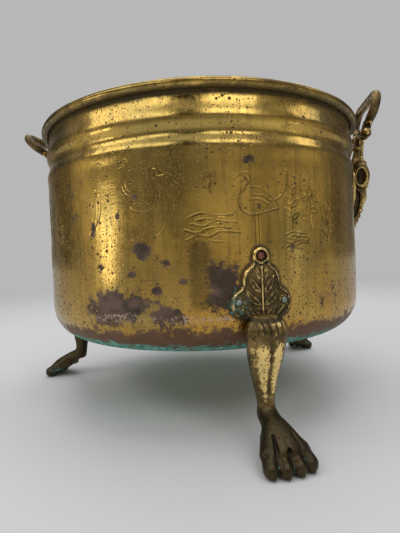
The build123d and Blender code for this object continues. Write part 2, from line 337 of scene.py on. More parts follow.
class Nodes:
    """A node tree, and short ways to add nodes to it."""

    def __init__(self, tree, coordinates):
        self.tree = tree
        self.where = self.add("ShaderNodeTexCoord").outputs[coordinates]
        self.z = self.value("ShaderNodeSeparateXYZ", {0: self.where}, "Z")

    def add(self, kind, inputs=(), **settings):
        node = self.tree.nodes.new(kind)
        for key, setting in settings.items():
            setattr(node, key, setting)
        self.set(node, inputs)
        return node

    def set(self, node, inputs):
        """Gives some of a node's inputs a link, a number, a vector or a colour (a tuple)."""
        for key, value in dict(inputs).items():
            value = value.socket if isinstance(value, Value) else value
            if isinstance(value, bpy.types.NodeSocket):
                self.tree.links.new(value, node.inputs[key])
            else:
                node.inputs[key].default_value = (*value, 1) if isinstance(value, tuple) else value

    def value(self, kind, inputs, output=0, **settings):
        return Value(self, self.add(kind, inputs, **settings).outputs[output])

    def math(self, operation, a, b=0.0):
        return self.value("ShaderNodeMath", {0: a, 1: b}, operation=operation)

    def most(self, first, *others):
        for other in others:
            first = self.math("MAXIMUM", first, other)
        return first

    def span(self, value, low, high, bottom=0.0, top=1.0, kind="SMOOTHSTEP"):
        """bottom to top as the value goes from low to high."""
        inputs = enumerate((value, low, high, bottom, top))
        return self.value("ShaderNodeMapRange", inputs, interpolation_type=kind)

    def noise(self, scale, detail=3.0, rough=0.55, where=None, distortion=0.0):
        return self.value("ShaderNodeTexNoise", {"Vector": where or self.where, "Scale": scale,
                                                 "Detail": detail, "Roughness": rough,
                                                 "Distortion": distortion}, "Fac")


class Finish(Nodes):
    """A material, made of nodes round a Principled shader."""

    def __init__(self, name):
        self.material = bpy.data.materials.new(name)
        self.material.use_nodes = True
        super().__init__(self.material.node_tree, "Object")
        self.shader = self.tree.nodes["Principled BSDF"]
        self.colour = None

    def stretched(self, scale, turn=(0, 0, 0)):
        inputs = {"Vector": self.where, "Scale": Vector(scale), "Rotation": Vector(turn)}
        return self.add("ShaderNodeMapping", inputs).outputs[0]

    def mix(self, factor, a, b):
        return self.add("ShaderNodeMix", {0: factor, 6: a, 7: b}, data_type="RGBA").outputs[2]

    def coat(self, amount, colour):
        """Lays a colour over the one so far."""
        self.colour = self.mix(amount, self.colour, colour)

    def attribute(self, name):
        return self.value("ShaderNodeAttribute", {}, "Fac", attribute_name=name)

    def pits(self, scale, size, share):
        """1 in small spots, of a size up to that part of a cell, in that share of the cells."""
        cell = self.add("ShaderNodeTexVoronoi", {"Vector": self.where, "Scale": scale})
        dice = self.add("ShaderNodeSeparateColor", {0: cell.outputs["Color"]})
        reach = self.span(dice.outputs[1], 0.0, 1.0, 0.35, 1.0) * size
        spot = self.span(self.math("DIVIDE", cell.outputs["Distance"], reach), 1.0, 0.6)
        return spot * self.math("LESS_THAN", dice.outputs[0], share)

    def hairs(self, where, width):
        """1 along thin wandering lines."""
        gap = self.math("ABSOLUTE", self.noise(1.0, 1.0, 0.4, where, 0.4) - 0.5)
        return self.span(gap, width, 0.0)

    def finish(self, roughness, metal, height, depth):
        bump = self.add("ShaderNodeBump", {"Strength": 1.0, "Distance": depth * MM, "Height": height})
        self.set(self.shader, {"Base Color": self.colour, "Roughness": roughness, "Metallic": metal,
                               "Normal": bump.outputs[0]})
        return self.material


def vessel_finish():
    """Old spun brass. Reads chased lines, stains, flecks, dirt with painted shade, shade (a painted dark
    reflection on the wall, a brown tone on the rolled edge) and green.
    """
    f = Finish("vessel_brass")
    wide, fine, grain = f.noise(16, 4), f.noise(150, 5, 0.7), f.noise(900, 2)
    drip = f.noise(1.0, 4, 0.6, f.stretched((230, 230, 15)))
    spin = f.noise(1.0, 3, 0.6, f.stretched((9, 9, 700)))
    low = f.span(f.z, 0.100, 0.035)
    gold, olive, amber = (0.70, 0.455, 0.105), (0.42, 0.30, 0.085), (0.66, 0.365, 0.065)
    f.colour = f.mix(f.span(wide, 0.36, 0.62), olive, gold)
    f.coat(low * f.span(f.noise(22, 3), 0.38, 0.62), amber)
    f.coat(f.span(drip, 0.50, 0.68, 0.0, 0.65), (0.30, 0.21, 0.065))
    f.coat(f.span(fine, 0.55, 0.75, 0.0, 0.55), (0.27, 0.17, 0.05))
    marks = f.hairs(f.stretched((170, 170, 26), (0.2, 0.1, 0)), 0.012)
    marks = marks * f.span(f.noise(60, 2), 0.45, 0.6)
    f.coat(marks * 0.45, (0.92, 0.72, 0.30))
    crowd = f.span(f.noise(30, 4, 0.65) + low * 0.12, 0.38, 0.62, 0.08, 0.95)
    f.coat(crowd * 0.45, (0.30, 0.185, 0.055))
    dots = f.most(f.pits(240, 0.34, crowd * 0.75), f.pits(600, 0.44, crowd) * 0.85)
    f.coat(dots * 0.88, (0.085, 0.050, 0.025))
    f.coat(f.span(f.attribute("line"), 0.25, 0.9) * 0.72, (0.085, 0.052, 0.02))
    wander = (f.noise(120, 5, 0.72) - 0.5) * 1.7
    stain = f.span(f.attribute("stain") + wander, 0.42, 0.66)
    umber = f.mix(f.span(f.noise(70, 4), 0.4, 0.62), (0.042, 0.032, 0.030), (0.135, 0.088, 0.078))
    umber = f.mix(f.span(f.z, 0.034, 0.012, 0.0, 0.75), umber, (0.165, 0.082, 0.042))
    f.coat(stain * 0.93, umber)
    flecks = f.span(f.attribute("fleck") + wander * 1.3, 0.8, 1.3)
    flecks = flecks * f.span(f.noise(520, 3, 0.7), 0.50, 0.58)
    f.coat(flecks * 0.75, (0.52, 0.38, 0.30))
    # Dirt with painted shade: round the plates, under the rolled edge and in the neck groove.
    dirt_and_painted_shade = f.span(f.attribute("dirt_and_painted_shade") + wander * 0.5, 0.25, 0.75)
    f.coat(dirt_and_painted_shade * 0.85, (0.050, 0.040, 0.024))
    # Painted dark reflection: a tall dark patch on the front of the wall; on the rolled edge the same mark is
    # a brown tone.
    shade = f.span(f.attribute("shade") + wander * 0.35, 0.3, 0.8, 0.0, 0.62)
    f.coat(shade, (0.135, 0.092, 0.028))
    green = f.span(f.attribute("green") + wander, 0.42, 0.72)
    verdigris = f.mix(f.span(f.noise(240, 4), 0.4, 0.62), (0.035, 0.19, 0.145), (0.16, 0.42, 0.33))
    f.coat(green, verdigris)
    dull = f.most(stain, dirt_and_painted_shade, dots)
    rough = f.most(f.span(fine, 0.3, 0.75, 0.13, 0.30), dull * 0.52, green * 0.85)
    metal = 1.0 - f.most(green * 0.95, dull * 0.35)
    height = fine * 0.35 + spin * 0.10 + drip * 0.30 + grain * 0.08 - dots * 0.55 + green * 0.5
    return f.finish(rough, metal, height, 0.22)


def cast_finish(name, bright, mid, dark, green_share):
    """Cast brass: bright where it wears on high places and where highlights are painted, brown patina with
    painted shade in the hollows. Reads the attributes relief, green and the one for wear and painted light.
    """
    f = Finish(name)
    fine, broad = f.noise(260, 5, 0.7), f.noise(45, 4)
    relief, wear_and_painted_light = f.attribute("relief"), f.attribute("wear_and_painted_light")
    f.colour = f.mix(f.span(broad, 0.36, 0.64), dark, mid)
    # Bright where the metal wears on high places, plus painted highlights where the marks ask for them, as on
    # the feet's legs and the mounts' keels.
    lift = relief * 1.9 + wear_and_painted_light * 0.52 + (fine - 0.5) * 2.0 + (broad - 0.5) * 1.1
    rubbed_and_painted_highlight = f.span(lift, 0.12, 0.62)
    # Dark patina where the marks fall below zero, with painted shade on the mounts' fin.
    patina_and_painted_shade = f.span(wear_and_painted_light, -0.15, -0.75, 0.0, 0.85)
    f.coat(patina_and_painted_shade, (0.050, 0.040, 0.024))
    f.coat(rubbed_and_painted_highlight, bright)
    # Brown-black patina and painted shade in the hollows of the casting.
    hollow_patina_and_shade = f.span(relief + (fine - 0.5) * 0.12, -0.03, -0.16)
    f.coat(hollow_patina_and_shade * 0.92, (0.022, 0.017, 0.010))
    dots = f.most(f.pits(640, 0.46, f.span(wear_and_painted_light, 0.1, 1.0, 0.45, 0.85)), f.pits(330, 0.32, 0.32))
    f.coat(dots * 0.85, (0.055, 0.033, 0.015))
    growth = f.attribute("green") + hollow_patina_and_shade * 0.30 + (f.noise(150, 5, 0.7) - 0.5) * 1.8
    green = f.span(growth, 0.62, 1.0, 0.0, green_share)
    f.coat(green, (0.10, 0.27, 0.215))
    smooth = f.span(rubbed_and_painted_highlight, 0.0, 1.0, 0.40, 0.16) + fine * 0.08
    rough = f.most(smooth, f.most(hollow_patina_and_shade, dots) * 0.6, green * 0.85)
    metal = 1.0 - f.most(green * 0.9, hollow_patina_and_shade * 0.3)
    height = fine + f.noise(900, 2) * 0.25 - dots * 0.9
    return f.finish(rough, metal, height, 0.16)


def small_finish(name, base, shade, film, gloss):
    """Rivets, pins and wire: a plain worn metal with film in patches."""
    f = Finish(name)
    fine, broad = f.noise(420, 4, 0.7), f.noise(170, 3)
    cover = f.span(fine, 0.5, 0.66, 0.0, 0.7)
    f.colour = f.mix(cover, f.mix(f.span(broad, 0.35, 0.65), base, shade), film)
    rough = f.span(fine, 0.35, 0.7, gloss, gloss + 0.28)
    metal = f.span(cover, 0.0, 1.0, 1.0, 0.55)
    return f.finish(rough, metal, fine + broad, 0.10)


FINISHES = {"vessel_brass": vessel_finish()}  # by slot
for cast_slot, *looks in (
        ("foot_brass", (0.90, 0.66, 0.25), (0.28, 0.19, 0.068), (0.115, 0.082, 0.035), 0.85),
        ("handle_brass", (0.66, 0.46, 0.17), (0.25, 0.17, 0.065), (0.095, 0.068, 0.032), 0.5)):
    FINISHES[cast_slot] = cast_finish(cast_slot, *looks)
for small_slot, *looks in (
        ("pin_brass", (0.70, 0.50, 0.17), (0.42, 0.29, 0.10), (0.14, 0.10, 0.05), 0.25),
        ("copper_rivet", (0.30, 0.125, 0.085), (0.17, 0.075, 0.055), (0.08, 0.05, 0.04), 0.38),
        ("pale_rivet", (0.36, 0.39, 0.33), (0.22, 0.24, 0.20), (0.10, 0.11, 0.09), 0.45),
        ("rim_wire", (0.32, 0.31, 0.29), (0.20, 0.17, 0.14), (0.16, 0.09, 0.05), 0.40)):
    FINISHES[small_slot] = small_finish(small_slot, *looks)


# ---------------- the vessel

def whole_outline(half):
    """The closed outline whose one half is given, from its lowest to its highest point."""
    return smooth_path(half + [(-y, z) for y, z in half[-2:0:-1]], 6, closed=True)


PLATE_LOOP = whole_outline(PLATE_HALF)
MOUNT_LOOP = whole_outline(MOUNT_HALF)


def mirror(strokes):
    """The strokes turned left to right."""
    return [[(-s, z) for s, z in stroke] for stroke in strokes]


def moved(strokes, ds, dz=0.0, size=1.0):
    """The strokes scaled, then moved along the wall and up it."""
    return [[(ds + s * size, dz + z * size) for s, z in stroke] for stroke in strokes]


CRANE = [
    [(-1.5, 17), (3, 20.5), (8, 21.5), (10.5, 18), (8, 13), (3.5, 9), (1.5, 3), (3, -3), (8, -6.5),
     (14, -7)],
    [(3, 15), (7, 18), (8.5, 15.5), (6.5, 12.5)],
    [(4, 8), (8, 11), (15, 11.5), (23, 8), (29, 2), (31, -3)],
    [(14, -7), (22, -5), (31, -3)],
    [(9, 3), (16, 3.5), (24, 0)],
    [(12, 6.5), (19, 6), (26, 2)],
    [(12.5, -7), (13, -20), (12.6, -34)],
    [(15.5, -7), (15.6, -20), (15.2, -34)],
]
SWAN = [
    [(-3, 3), (0, 7), (4, 8), (6.5, 4), (5.5, -3), (3, -10), (2, -18), (5, -26), (10, -30)],
    [(1, 2), (2.5, -4), (0.5, -10), (-1, -19), (1, -28), (8, -34), (18, -35)],
    [(-3, 3), (-7, 1.5), (-3, 0.5), (1, 2)],
    [(10, -30), (16, -24), (24, -23), (30, -28), (26, -33), (18, -35)],
    [(14, -29), (20, -26.5), (25, -28)],
]
REEDS = [
    [(-2, 12), (8, 15), (18, 13), (30, 13.5)],
    [(0, 8), (9, 6), (16, 9), (32, 8)],
    [(1, 2), (12, -1), (20, 2), (34, 1)],
    [(-3, -3), (6, 0), (13, -4), (22, -5)],
    [(4, 10), (12, 11), (20, 9.5)],
    [(8, 3.5), (16, 5), (28, 4.5)],
    [(-4, 4), (2, 2), (9, 2.5)],
]
STEM = [
    [(0, 20), (1.5, 10), (0.5, 0), (-3, -7), (-8, -11)],
    [(3, 16), (3.5, 7), (1.5, -2)],
]
PETALS = [
    [(0, 0), (6, 1), (9, 5), (4, 5.5), (0, 0)],
    [(0, 0), (5, -3), (9, -3), (6, 0.5), (0, 0)],
]
FLOWER = PETALS + mirror(PETALS) + [
    [(0, 0), (3, 4), (0, 8), (-3, 4), (0, 0)],
    [(0, -1), (1, -8), (-1, -16), (1, -25)],
    [(0, -10), (5, -8), (9, -11), (4, -13), (0, -10)],
    [(0, -16), (-5, -14), (-10, -17), (-4, -19), (0, -16)],
]
BUSH = [
    [(0, -24), (1.5, -14), (-1, -4), (1.5, 6), (0, 15)],
    [(0.5, -15), (6, -13), (10, -7), (4, -9), (0.5, -15)],
    [(0.5, -13), (-6, -10), (-9, -4), (-3, -6), (0.5, -13)],
    [(-0.5, -3), (6, 0), (10, 6), (4, 4), (-0.5, -3)],
    [(-0.5, -1), (-6, 2), (-9, 8), (-3, 6), (-0.5, -1)],
    [(1, 9), (5, 13), (6, 19), (2, 16), (1, 9)],
    [(1, 10), (-4, 14), (-5, 20), (-1, 17), (1, 10)],
]
GROUPS = 4  # of the same motifs, round the wall


def engraving():
    """The chased band's strokes: water birds, reeds and flowers, as (place round the wall, height)."""
    group = (moved(CRANE, 24, 104) + moved(SWAN, -56, 134, 0.62) + moved(mirror(SWAN), -30, 126, 0.7)
             + moved(REEDS, -8, 84) + moved(STEM, -24, 95) + moved(FLOWER, 84, 110, 0.9)
             + moved(BUSH, 66, 104, 0.7) + moved(mirror(BUSH), 104, 92, 0.7) + moved(STEM, -80, 100)
             + moved(FLOWER, 6, 124, 0.45) + moved(STEM, 60, 116, 0.8) + moved(REEDS, 62, 76, 0.6))
    return [stroke for k in range(GROUPS) for stroke in moved(group, k * AROUND / GROUPS)]


def chased_gap(heights):
    """Distance to the nearest chased line, by ring and column, up to a value well clear of it."""
    gap = np.full((len(heights), COLUMNS), CLEAR_OF_LINES)
    cell = AROUND / COLUMNS
    for stroke in engraving():
        path = smooth_path(stroke, 6)
        for a, b in zip(path[:-1], path[1:]):
            low, high = np.minimum(a, b) - LINE_REACH, np.maximum(a, b) + LINE_REACH
            rows = np.where((heights > low[1]) & (heights < high[1]))[0]
            first = math.floor((low[0] + AROUND / 2) / cell)
            last = math.ceil((high[0] + AROUND / 2) / cell)
            cols = np.arange(first, last + 1)
            spot = np.ix_(rows, cols % COLUMNS)
            d = line_distance([a, b], cols * cell - AROUND / 2, heights[rows][:, None])
            gap[spot] = np.minimum(gap[spot], d)
    return gap


def wall_profile():
    """Rings of the closed sheet from the middle of the underside, up the outside, over the roll
    and down the inside: radius, height, and which way the ring faces."""

    def arc(centre, radius, start, end, count, endpoint=True):
        a = np.radians(np.linspace(start, end, count, endpoint=endpoint))
        return centre[0] + radius * np.cos(a), centre[1] + radius * np.sin(a)

    corner = (FLOOR_R, CORNER_Z)
    under = np.linspace(0, FLOOR_R, int(14 / COARSE), endpoint=False)
    wall = np.concatenate([np.arange(CORNER_Z, 62, 1.1 * COARSE), np.arange(62, 143, 0.66 * COARSE),
                           np.arange(143, 185.8, 0.8 * COARSE)])
    inner = np.concatenate([np.arange(184.5, 143, -1.5 * COARSE), np.arange(143, 29.5, -2.6 * COARSE)])
    bottom = np.linspace(112, 0, int(11 / COARSE))
    runs = [
        (OUTSIDE, under, np.full(len(under), -SHEET)),
        (OUTSIDE, *arc(corner, CORNER_R, -90, 0, int(44 / COARSE), endpoint=False)),
        (OUTSIDE, spline(NECK_Z, NECK_R, wall), wall),
        (ROLLED, *arc(ROLL_AT, ROLL_R - SHEET, 180, ROLL_END, 12)),
        (ROLLED, *arc(ROLL_AT, ROLL_R, ROLL_END, 180, 30)),
        (INSIDE, spline(NECK_Z, NECK_R, inner) - SHEET, inner),
        (INSIDE, *arc(corner, CORNER_R - SHEET, 0, -90, int(20 / COARSE))),
        (INSIDE, bottom, np.zeros(len(bottom))),
    ]
    return np.vstack([np.stack([r, z, np.full(len(r), side)], 1) for side, r, z in runs])


TURN = (np.arange(COLUMNS) * 2 * math.pi / COLUMNS - math.pi)[None]  # the columns' azimuths
ROUND = TURN * WALL_R  # and places round the wall
EVEN_X, EVEN_Y = WALL_R * np.sin(TURN), -WALL_R * np.cos(TURN)  # on a wall with no dents


def even_noise(z, size, shift=0.0):
    """Noise that goes by the place on an even wall, whatever the sheet's own radius."""
    return noise(EVEN_X, EVEN_Y, z, size, shift)


def vessel_shape():
    """x, y, z, the way the sheet faces and how deep it is chased, by ring and column."""
    radius, height, side = (column[:, None] for column in wall_profile().T)
    z = np.broadcast_to(height, (len(height), COLUMNS))
    # dents and waviness of the sheet, the same through its thickness
    wave = 0.34 * even_noise(z, 34.0) + 0.10 * even_noise(z, 13.0, 3.1)
    ribs = 0.030 * even_noise(z / 9, 3.4, 7.7) * rise(even_noise(z / 3, 26.0, 1.7), -0.3, 0.5)
    fade = rise(height, 8, 34) * (1 - 0.75 * rise(height, 138, 146)) * (1 - 0.4 * rise(height, 178, 186))
    # the chased lines
    band = ((side == OUTSIDE) & (height > BAND[0]) & (height < BAND[1]))[:, 0]
    gap = np.full(z.shape, CLEAR_OF_LINES)
    gap[band] = chased_gap(height[band, 0])
    hand = 0.55 + 0.45 * even_noise(z, 9.0, 4.4)
    line = bell(gap, 0.50) * np.clip(hand + 0.25, 0.25, 1)
    cut = np.where(side == OUTSIDE, 0.32 * line - 0.06 * bell(gap - 1.1, 0.5), 0)
    push = (wave + ribs) * fade - cut
    scale = 1 + push / np.maximum(radius, 20.0) * (radius > 60)
    x, y = radius * np.sin(TURN) * scale, -radius * np.cos(TURN) * scale
    # the rolled edge is a little uneven
    z = z - np.abs(0.10 * even_noise(0.0, 17.0, 2.2)) * (side == ROLLED)
    return x, y, z, side, line


def past(at):
    """How far each column is from a place round the wall, the shorter way."""
    return (ROUND - at + AROUND / 2) % AROUND - AROUND / 2


def blot(z, at, height, across, up):
    """A soft spot on the wall, 1 in its middle."""
    return bell(past(at), across) * bell(z - height, up)


def plate_halo(loop, z, azimuth, spread, low, high):
    """A soft halo between two heights round a plate: 1 at its edge, fading over the spread."""
    away = np.broadcast_to(np.abs(past(math.radians(azimuth) * WALL_R)), z.shape)
    near = (away < PLATE_REACH) & (z > low) & (z < high)
    result = np.zeros(z.shape)
    result[near] = bell(np.maximum(outline_distance(loop, away[near], z[near]), 0), spread)
    return result


# stains on the wall: place round it, height, reach across, reach up, darkness
STAINS = [
    (-66, 35, 31, 16, 1.05), (-28, 29, 20, 9, 0.85), (-43, 76, 9, 7, 1.05), (31, 135, 12, 6, 0.55),
    (-110, 110, 20, 30, 0.45), (13, 48, 15, 26, 0.92), (5, 90, 14, 6, 0.45), (105, 40, 30, 20, 0.45),
    (200, 45, 34, 18, 0.9), (260, 100, 14, 12, 0.8), (330, 38, 40, 15, 0.9), (-205, 40, 36, 17, 0.95),
    (-250, 96, 12, 10, 0.9), (-330, 60, 20, 26, 0.7), (420, 88, 16, 14, 0.7), (-400, 34, 30, 14, 0.9),
    (155, 128, 14, 8, 0.55), (-52, 58, 5, 4, 0.85), (-25, 66, 4, 5, 0.8), (-34, 47, 6, 4, 0.9),
    (-78, 64, 5, 6, 0.8), (-14, 53, 4, 3, 0.8), (-61, 100, 3, 3, 0.85), (-4, 70, 3, 3, 0.75),
    (-84, 92, 4, 9, 0.75), (-47, 113, 3, 3, 0.8), (52, 40, 7, 5, 0.7), (66, 74, 4, 6, 0.7),
    (40, 104, 3, 4, 0.7),
]


def vessel_marks(x, y, z, side, line):
    """What vessel_finish reads, by ring and column."""
    inside, outside, rolled = side == INSIDE, side == OUTSIDE, side == ROLLED
    # Dirt with painted shade round the plates' edges where they meet the wall, a painted shadow under the
    # rolled edge, painted shade in the neck groove, and a faint dark line at 139.5 mm.
    dirt_and_painted_shade = [0.8 * plate_halo(PLATE_LOOP, z, azimuth, 2.8, -2, 90) for azimuth in FEET.values()]
    dirt_and_painted_shade += [plate_halo(MOUNT_LOOP, z, azimuth, 4.0, 60, 170) for azimuth, _ in HANDLES.values()]
    dirt_and_painted_shade += [0.8 * bell(z - 181.5, 3.2) * ~inside, 0.42 * bell(z - 155.6, 1.3) * outside,
              0.30 * bell(z - 139.5, 1.4) * outside]
    stain = 0.86 * bell(z - 9, 15) * (1 + 0.30 * even_noise(z, 40.0, 8.2))
    for *where, dark in STAINS:
        stain = np.maximum(stain, dark * blot(z, *where))
    patches = 0.5 * even_noise(z, 30.0, 2.9) + 0.35 * noise(x, y, z, 21.0, 6.7)
    stain = np.where(inside, 0.34 + 0.30 * (1 - rise(z, 20, 130)) + 0.35 * patches, stain)
    stain = np.where(rolled, 0.28 + 0.26 * even_noise(z, 16.0, 5.7), stain)
    green = 1.02 * bell(z + 0.5, 10.0) * (1 + 0.4 * even_noise(0.0, 55.0, 6.1))
    green = np.where(z < 1.5, 0.62 + 0.35 * even_noise(z, 30.0, 9.4), green)
    by_plate = 0.38 * plate_halo(PLATE_LOOP, z, FEET["front"], 5.0, -2, 90)
    green = np.maximum(green, by_plate * rise(ROUND, 42, 30) * rise(z, 60, 50))
    green = np.where(inside, 0.10 + 0.16 * bell(z - 6, 9), green)
    fleck = np.maximum(blot(z, -60, 29, 34, 5), blot(z, -8, 27, 26, 4)) + 0.7 * bell(z - 27, 4)
    # A tall dark patch on the front of the wall is a painted dark reflection; on the rolled edge this mark is
    # a brown tone.
    shade = bell(ROUND + 3, 9.0) * rise(z, 24, 40) * rise(-z, -88, -74) * outside
    shade = np.where(rolled, 0.62 + 0.35 * even_noise(z, 12.0, 3.9), shade)
    return {"line": line * outside, "dirt_and_painted_shade": np.maximum.reduce(dirt_and_painted_shade), "stain": stain, "green": green,
            "fleck": fleck * outside, "shade": shade}


def build_vessel():
    x, y, z, side, line = vessel_shape()

    def joined(grid):
        """The grid's points in a row. The first ring and the last have no radius: one point each."""
        return np.concatenate([grid[0, :1], grid[1:-1].reshape(-1, *grid.shape[2:]), grid[-1, :1]])

    marks = {key: joined(grid) for key, grid in vessel_marks(x, y, z, side, line).items()}
    points = joined(np.stack([x, y, z], 2))
    faces = ring_faces(len(z) - 2, COLUMNS)
    build_piece("pot", "pot_body", "vessel_brass", points, faces, marks)


build_vessel()


# ---------------- feet

# leaflets of the reliefs on the plates: base, tip, width, sag
PLATE_LEAVES = [((0.4, 52.0), (4.6, 62.2), 4.6, 0.3), ((0.8, 43.0), (9.6, 56.4), 6.0, 0.8),
                ((0.9, 34.5), (12.4, 47.6), 6.4, 1.2), ((1.2, 28.0), (10.8, 36.6), 5.2, 1.6)]
MOUNT_LEAVES = [((3.0, 112.0), (12.0, 121.5), 4.6, -0.6), ((3.0, 119.0), (16.5, 127.0), 4.4, -0.8),
                ((3.5, 124.0), (17.0, 137.0), 4.8, -1.2)]
BOWL = [(0.5, 25.6), (7, 26.8), (12.5, 30), (15, 33.2)]
LEG_Z = [-42, -34, -24, -12, 2, 14, 24, 29.5]
LEG_TOP = LEG_Z[-1]


def leaflet(y, z, base, tip, width, sag):
    """Height of one leaflet of a relief, with its vein and the groove round it."""
    by, bz = base
    dy, dz = tip[0] - by, tip[1] - bz
    length = math.hypot(dy, dz)
    along = ((y - by) * dy + (z - bz) * dz) / length
    t = np.clip(along / length, 0, 1)
    across = ((y - by) * dz - (z - bz) * dy) / length - sag * np.sin(math.pi * t)
    half = 0.5 * width * np.sin(math.pi * t**0.75)
    beyond = np.maximum(0, np.maximum(-along, along - length))
    d = np.hypot(np.maximum(np.abs(across) - half, 0), beyond)
    d = np.where((np.abs(across) < half) & (beyond == 0), np.abs(across) - half, d)
    swell = rise(-d, 0.0, 1.3)
    vein = bell(across, 0.5) * rise(-d, 0.6, 1.4)
    return 0.85 * swell - 0.55 * vein - 0.35 * bell(d - 0.3, 0.6)


def with_leaflets(lines, y, z, leaves):
    """The relief with leaflets added: the stronger of the two counts."""
    for leaf in leaves:
        here = leaflet(y, z, *leaf)
        lines = np.where(np.abs(here) > np.abs(lines), here, lines)
    return lines


def bullnose(edge, reach):
    """From 0 at a plate's edge, over a quarter round, to 1 further in."""
    return np.sqrt(np.clip(1 - (1 - np.clip(edge / reach, 0, 1)) ** 2, 0, 1))


def on_wall(b, top, edge):
    """A plate on the wall, of that thickness and with that distance inside its edge."""
    plate = smax(b.r - (SEAT + top[None]), -edge[None], 0.6)
    return smax(plate, SEAT - b.r, 0.2)


def foot_plate(b):
    """The leaf plate, with an ear for the copper rivet and a lobe for each pale one."""
    y, z = b.y[0], b.z[0]
    edge = -outline_distance(PLATE_LOOP, y, z)
    lines = 1.15 * bell(line_distance([(0, 24), (0, 50), (0, 61)], y, z), 0.75)
    for side in (-1, 1):
        lines = with_leaflets(lines, side * y, z, PLATE_LEAVES)
        bowl = smooth_path(BOWL, 5) * np.array([side, 1])
        lines = np.maximum(lines, bell(line_distance(bowl, y, z), 0.8))
    lobe_gap = np.hypot(np.abs(y) - LOBE_Y, z - LOBE_Z)
    ear_gap = np.hypot(y, z - EAR_Z)
    calm = rise(lobe_gap, 2.9, 4.3) * rise(ear_gap, 5.4, 7.0)
    body = bullnose(edge, 1.9)
    top = 2.5 * body + 0.75 * bell(edge - 1.5, 0.8) * calm + lines * calm * rise(edge, 0.8, 2.0)
    top = top + 0.6 * bell(lobe_gap - 3.4, 0.7) - 0.2 * rise(2.9 - lobe_gap, -0.3, 0.3)
    ring = rise(6.4 - ear_gap, 0, 0.9) * rise(ear_gap, 3.5, 4.3)
    top = np.where(ear_gap < 7, np.maximum(top, 2.4 * body + ring), top)
    top = np.where(ear_gap < 4.2, 1.6 + 1.6 * rise(ear_gap, 3.5, 4.2), top)
    return on_wall(b, top, edge)


def foot_leg(b):
    """The leg: level sections, fluted in front, and a sheath with a scalloped lower edge."""
    level = np.clip(b.z, LEG_Z[0], LEG_TOP)
    centre = spline(LEG_Z, [155.0, 152.3, 151.3, 151.9, 154.6, 157.2, 156.6, 153.2], level)
    deep = spline(LEG_Z, [6.3, 5.9, 7.1, 8.8, 10.4, 9.2, 6.2, 2.0], level)
    broad = spline(LEG_Z, [6.3, 5.9, 7.1, 9.7, 12.8, 14.3, 13.6, 9.5], level)
    power = 2.25
    rho = (np.abs((b.u - centre) / deep) ** power + np.abs(b.y / broad) ** power) ** (1 / power)
    front = rise(b.u - centre, 0.0, 4.0)
    flute = 1.25 * bell(b.y, 2.6) * rise(b.z, -33, -22) * rise(-b.z, -26, -14)
    side_flute = 0.45 * bell(np.abs(b.y) - 0.80 * broad, 1.5) * rise(b.z, -24, -8) * rise(-b.z, -26, -16)
    leg = (rho - 1) * np.minimum(deep, broad) + front * (flute + side_flute)
    scallop = 13.5 + 3.2 * np.abs(np.sin(b.y * math.pi / 9.0))
    sheath = 0.25 * rise(b.z, scallop - 1.2, scallop + 0.4) * front
    folds = 0.5 * (bell(b.y, 0.8) + bell(np.abs(b.y) - 4.6, 0.7) + bell(np.abs(b.y) - 9, 0.8))
    leg = leg - sheath + folds * rise(b.z, 15, 18) * front * rise(-b.z, -29, -24)
    leg = smax(leg, b.z - LEG_TOP, 1.5)
    leg = smax(leg, -43 - b.z, 3.0)
    leg = np.where(b.z > 27, smax(leg, SEAT - b.r, 0.5), leg)
    corner = np.hypot(b.r - FLOOR_R, np.minimum(b.z - CORNER_Z, 0))
    return smax(leg, CORNER_R + 0.1 - corner, 0.5)


def foot_toe(b, y):
    """A toe with its claw, and a crease over its tip."""
    tip = 190 - abs(y) / 4
    knuckle = (tip - 8.0, 0.9 * y, GROUND + 10.6)
    back = b.rod((tip - 21, 0.5 * y, GROUND + 14.6), knuckle, 4.2, 4.9)
    toe = smin(back, b.rod(knuckle, (tip - 0.4, y, GROUND + 5.3), 4.6, 4.7), 1.0)
    toe = smin(toe, b.ball((tip - 0.8, y, GROUND + 5.2), (6.0, 4.5, 5.6)), 1.0)
    claw = b.rod((tip + 2.6, y, GROUND + 6.6), (tip + 4.6, y, GROUND + 2.2), 1.7, 0.9)
    crease = b.ball((tip - 3.4, y, GROUND + 12.6), (1.2, 4.6, 1.3))
    return smax(smin(toe, claw, 0.6), -crease, 1.8)


def foot_paw(b):
    """The paw: sections across its length, and four toes with cuts between them."""
    keys = [152, 160, 170, 180, 189]
    reach = np.clip(b.u, keys[0], keys[-1])
    mid = spline(keys, [-39.6, -42.4, -47.8, -53.0, -56.6], reach)
    high = spline(keys, [4.4, 7.6, 9.2, 9.0, 6.6], reach)
    wide = spline(keys, [5.2, 8.2, 13.2, 16.4, 15.6], reach)
    rho = np.sqrt(((b.z - mid) / high) ** 2 + (b.y / wide) ** 2)
    paw = (rho - 1) * np.minimum(high, wide) + 0.9
    paw = smax(smax(paw, b.u - 187, 3.0), 150 - b.u, 3.0)
    toes = foot_toe(b, TOE_YS[0])
    for toe_y in TOE_YS[1:]:
        toes = smin(toes, foot_toe(b, toe_y), 0.7)
    paw = smin(paw, toes, 1.6)
    for y in (-8.8, 0.0, 8.8):
        cut = b.rod((191, y * 1.02, GROUND + 10.0), (175, y * 0.70, GROUND + 20.0), 1.7, 0.3)
        paw = smax(paw, -cut, 2.2)
    return paw


